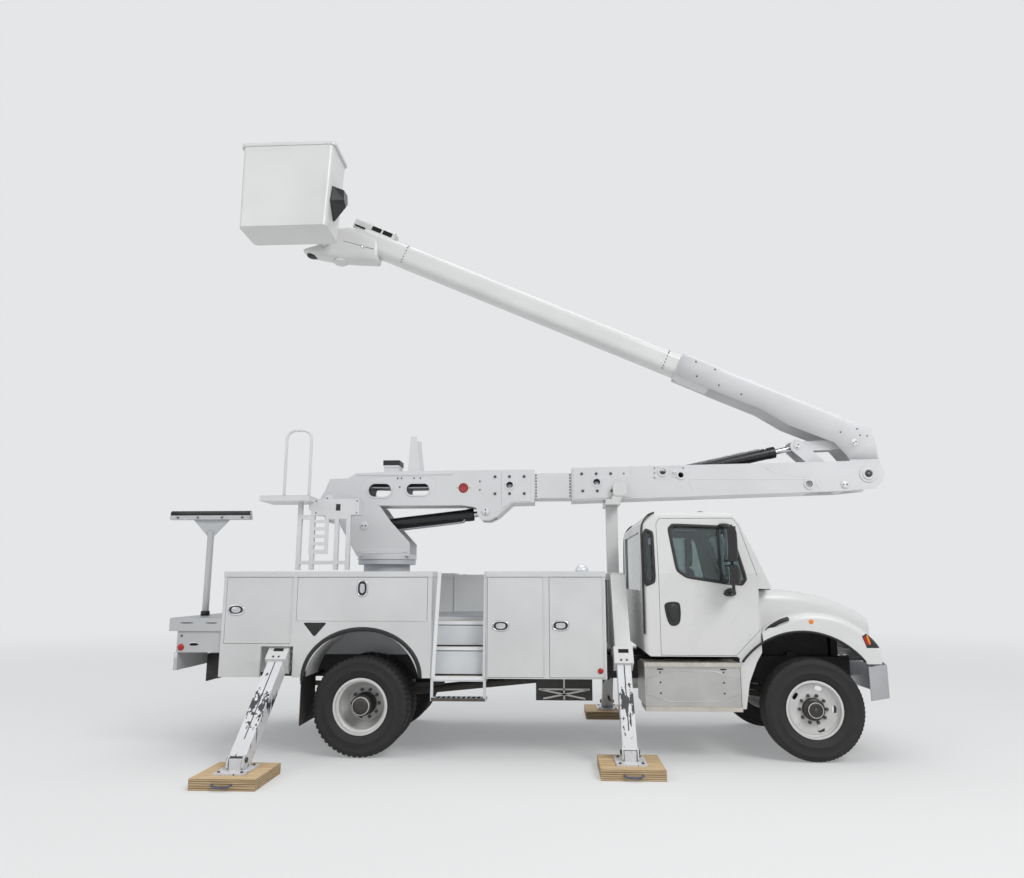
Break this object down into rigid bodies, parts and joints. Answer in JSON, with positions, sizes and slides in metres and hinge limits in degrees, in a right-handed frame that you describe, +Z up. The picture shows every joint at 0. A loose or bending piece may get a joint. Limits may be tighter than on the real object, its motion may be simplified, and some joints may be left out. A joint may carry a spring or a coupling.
{
  "type": "bucket truck",
  "caption": "Articulated bucket truck: conventional cab, side compartments, slanted outriggers and a folding two-piece boom on a turret with a personnel bucket.",
  "frame": {"origin": "on the ground under the centre of the bounding box, on the chassis centre line", "axes": "+X forward, +Y to the driver's left, +Z up"},
  "size_m": [8.72, 5.02, 7.44],
  "materials": {
    "white_paint": "gloss enamel",
    "black_paint": "semi-gloss enamel",
    "grey_deck": "worn non-slip paint",
    "tyre": "matt",
    "bumper_steel": "bright",
    "aluminium": "mill finish",
    "glass": "tinted",
    "interior": "grained",
    "fibreglass": "gel coat",
    "rod_chrome": "polished",
    "wood": "raw, weathered",
    "black_plastic": "moulded",
    "lamp": "clear",
    "grating": "serrated"
  },
  "bodies": {
    "chassis": {"frame": "black_paint", "front_axle": "black_paint", "rear_axle": "black_paint", "powertrain": "black_paint", "cab_shell": "white_paint", "cab_glass": "glass", "cab_interior": "interior", "bumper": "bumper_steel", "step_box": "aluminium", "fuel_tank": "aluminium", "side_packs": "white_paint", "deck": "grey_deck", "tail_shelf": "grey_deck", "outrigger_frames": "white_paint", "outrigger_pads": "wood"},
    "hood": {"hood": "fibreglass", "grille": "black_plastic", "headlamps": "lamp"},
    "steering_wheel": {"steering_wheel": "black_plastic"},
    "turret": {"turret": "white_paint", "access_platform": "grating"},
    "lift_barrel": {"lift_barrel": "black_paint"},
    "lift_rod": {"lift_rod": "rod_chrome"},
    "lower_boom": {"lower_boom": "white_paint", "boom_insert": "fibreglass"},
    "upper_boom": {"upper_boom_base": "white_paint", "upper_boom_tube": "fibreglass", "boom_tip": "fibreglass"},
    "elbow_lever": {"elbow_lever": "white_paint"},
    "elbow_link": {"elbow_link": "white_paint"},
    "elbow_barrel": {"elbow_barrel": "black_paint"},
    "elbow_rod": {"elbow_rod": "rod_chrome"},
    "bucket": {"bucket": "fibreglass"},
    "steer_left": {"knuckle_left": "black_paint"},
    "wheel_front_left": {"front_rim_left": "white_paint", "front_tyre_left": "tyre"},
    "wheel_rear_left": {"rear_rims_left": "white_paint", "rear_tyres_left": "tyre"},
    "cab_door_left": {"cab_door_left": "white_paint", "door_glass_left": "glass"},
    "rear_door_left": {"rear_door_left": "white_paint"},
    "top_door_left": {"top_door_left": "white_paint"},
    "front_door_a_left": {"front_door_a_left": "white_paint"},
    "front_door_b_left": {"front_door_b_left": "white_paint"},
    "rear_leg_left": {"rear_leg_left": "white_paint"},
    "front_leg_left": {"front_leg_left": "white_paint"},
    "steer_right": {"knuckle_right": "black_paint"},
    "wheel_front_right": {"front_rim_right": "white_paint", "front_tyre_right": "tyre"},
    "wheel_rear_right": {"rear_rims_right": "white_paint", "rear_tyres_right": "tyre"},
    "cab_door_right": {"cab_door_right": "white_paint", "door_glass_right": "glass"},
    "rear_door_right": {"rear_door_right": "white_paint"},
    "top_door_right": {"top_door_right": "white_paint"},
    "front_door_a_right": {"front_door_a_right": "white_paint"},
    "front_door_b_right": {"front_door_b_right": "white_paint"},
    "rear_leg_right": {"rear_leg_right": "white_paint"},
    "front_leg_right": {"front_leg_right": "white_paint"}
  },
  "joints": [
    {"name": "hood_hinge", "type": "hinge", "parent": "chassis", "child": "hood", "pos_m": [3.89, 0, 1], "axis": [0, 1, 0], "range_deg": [0, 75]},
    {"name": "steer_left", "type": "hinge", "parent": "chassis", "child": "steer_left", "pos_m": [3.041, 0.85, 0.527], "axis": [0, 0, 1], "range_deg": [-38, 38]},
    {"name": "wheel_front_left", "type": "hinge", "parent": "steer_left", "child": "wheel_front_left", "pos_m": [3.041, 1.01, 0.527], "axis": [0, 1, 0], "continuous": true},
    {"name": "wheel_rear_left", "type": "hinge", "parent": "chassis", "child": "wheel_rear_left", "pos_m": [-1.81, 0.8785, 0.527], "axis": [0, 1, 0], "continuous": true},
    {"name": "cab_door_left", "type": "hinge", "parent": "chassis", "child": "cab_door_left", "pos_m": [2.515, 1.12, 1.6], "axis": [0, 0, -1], "range_deg": [0, 70]},
    {"name": "rear_door_left", "type": "hinge", "parent": "chassis", "child": "rear_door_left", "pos_m": [-2.6, 1.219, 1.548], "axis": [0, 0, -1], "range_deg": [0, 90]},
    {"name": "front_door_a_left", "type": "hinge", "parent": "chassis", "child": "front_door_a_left", "pos_m": [0.185, 1.219, 1.378], "axis": [0, 0, -1], "range_deg": [0, 90]},
    {"name": "front_door_b_left", "type": "hinge", "parent": "chassis", "child": "front_door_b_left", "pos_m": [0.83, 1.219, 1.378], "axis": [0, 0, -1], "range_deg": [0, 90]},
    {"name": "top_door_left", "type": "hinge", "parent": "chassis", "child": "top_door_left", "pos_m": [-1.81, 1.219, 1.44], "axis": [-1, 0, 0], "range_deg": [0, 90]},
    {"name": "rear_leg_left", "type": "slide", "parent": "chassis", "child": "rear_leg_left", "axis": [0, -0.749, 0.6626], "range_m": [0, 0.95]},
    {"name": "front_leg_left", "type": "slide", "parent": "chassis", "child": "front_leg_left", "axis": [0, -0.4898, 0.8718], "range_m": [0, 0.8]},
    {"name": "steer_right", "type": "hinge", "parent": "chassis", "child": "steer_right", "pos_m": [3.041, -0.85, 0.527], "axis": [0, 0, 1], "range_deg": [-38, 38]},
    {"name": "wheel_front_right", "type": "hinge", "parent": "steer_right", "child": "wheel_front_right", "pos_m": [3.041, -1.01, 0.527], "axis": [0, 1, 0], "continuous": true},
    {"name": "wheel_rear_right", "type": "hinge", "parent": "chassis", "child": "wheel_rear_right", "pos_m": [-1.81, -0.8785, 0.527], "axis": [0, 1, 0], "continuous": true},
    {"name": "cab_door_right", "type": "hinge", "parent": "chassis", "child": "cab_door_right", "pos_m": [2.515, -1.12, 1.6], "axis": [0, 0, 1], "range_deg": [0, 70]},
    {"name": "rear_door_right", "type": "hinge", "parent": "chassis", "child": "rear_door_right", "pos_m": [-2.6, -1.219, 1.548], "axis": [0, 0, 1], "range_deg": [0, 90]},
    {"name": "front_door_a_right", "type": "hinge", "parent": "chassis", "child": "front_door_a_right", "pos_m": [0.185, -1.219, 1.378], "axis": [0, 0, 1], "range_deg": [0, 90]},
    {"name": "front_door_b_right", "type": "hinge", "parent": "chassis", "child": "front_door_b_right", "pos_m": [0.83, -1.219, 1.378], "axis": [0, 0, 1], "range_deg": [0, 90]},
    {"name": "top_door_right", "type": "hinge", "parent": "chassis", "child": "top_door_right", "pos_m": [-1.81, -1.219, 1.44], "axis": [1, 0, 0], "range_deg": [0, 90]},
    {"name": "rear_leg_right", "type": "slide", "parent": "chassis", "child": "rear_leg_right", "axis": [0, 0.749, 0.6626], "range_m": [0, 0.95]},
    {"name": "front_leg_right", "type": "slide", "parent": "chassis", "child": "front_leg_right", "axis": [0, 0.4898, 0.8718], "range_m": [0, 0.8]},
    {"name": "steering_wheel", "type": "hinge", "parent": "chassis", "child": "steering_wheel", "pos_m": [2.12271, 0.52, 1.70117], "axis": [-0.7219, 0, 0.6919], "range_deg": [-685, 685]},
    {"name": "turret_turn", "type": "hinge", "parent": "chassis", "child": "turret", "pos_m": [-1.81, 0, 2.13], "axis": [0, 0, 1], "continuous": true},
    {"name": "lower_boom_lift", "type": "hinge", "parent": "turret", "child": "lower_boom", "pos_m": [-2.51, 0, 2.88], "axis": [0, -1, 0], "range_deg": [0, 115]},
    {"name": "lift_cylinder", "type": "hinge", "parent": "turret", "child": "lift_barrel", "pos_m": [-2.06, 0, 2.545], "axis": [0, -1, 0], "range_deg": [0, 111]},
    {"name": "lift_stroke", "type": "slide", "parent": "lift_barrel", "child": "lift_rod", "axis": [0.9934, 0, 0.1144], "range_m": [0, 0.937]},
    {"name": "upper_boom_lift", "type": "hinge", "parent": "lower_boom", "child": "upper_boom", "pos_m": [4.17, 0, 3.16], "axis": [0, 1, 0], "range_deg": [-24, 150]},
    {"name": "elbow_lever", "type": "hinge", "parent": "lower_boom", "child": "elbow_lever", "pos_m": [3.88, 0, 3.03], "axis": [0, 1, 0], "range_deg": [-15, 93.1]},
    {"name": "elbow_link", "type": "hinge", "parent": "upper_boom", "child": "elbow_link", "pos_m": [4.05, 0, 3.56], "axis": [0, 1, 0], "range_deg": [-71.5, 11.5]},
    {"name": "elbow_cylinder", "type": "hinge", "parent": "lower_boom", "child": "elbow_barrel", "pos_m": [1.81, 0, 3.19], "axis": [0, -1, 0], "range_deg": [-4.6, 0.8]},
    {"name": "elbow_stroke", "type": "slide", "parent": "elbow_barrel", "child": "elbow_rod", "axis": [0.9771, 0, 0.2129], "range_m": [-0.16, 0.992]},
    {"name": "bucket_level", "type": "hinge", "parent": "upper_boom", "child": "bucket", "pos_m": [-2.76, -0.6, 6.39], "axis": [0, 1, 0], "range_deg": [-150, 24]}
  ],
  "couplings": [
    {"joint": "steer_right", "follows": "steer_left", "ratio": 1},
    {"joint": "steering_wheel", "follows": "steer_left", "ratio": 18},
    {"joint": "lift_cylinder", "follows": "lower_boom_lift", "ratio": 0.9644},
    {"joint": "lift_stroke", "follows": "lower_boom_lift", "m_per_rad": 0.4664},
    {"joint": "elbow_lever", "follows": "upper_boom_lift", "ratio": 0.62},
    {"joint": "elbow_link", "follows": "upper_boom_lift", "ratio": -0.475},
    {"joint": "elbow_cylinder", "follows": "upper_boom_lift", "ratio": -0.03},
    {"joint": "elbow_stroke", "follows": "upper_boom_lift", "m_per_rad": 0.3786},
    {"joint": "bucket_level", "follows": "upper_boom_lift", "ratio": -1}
  ]
}
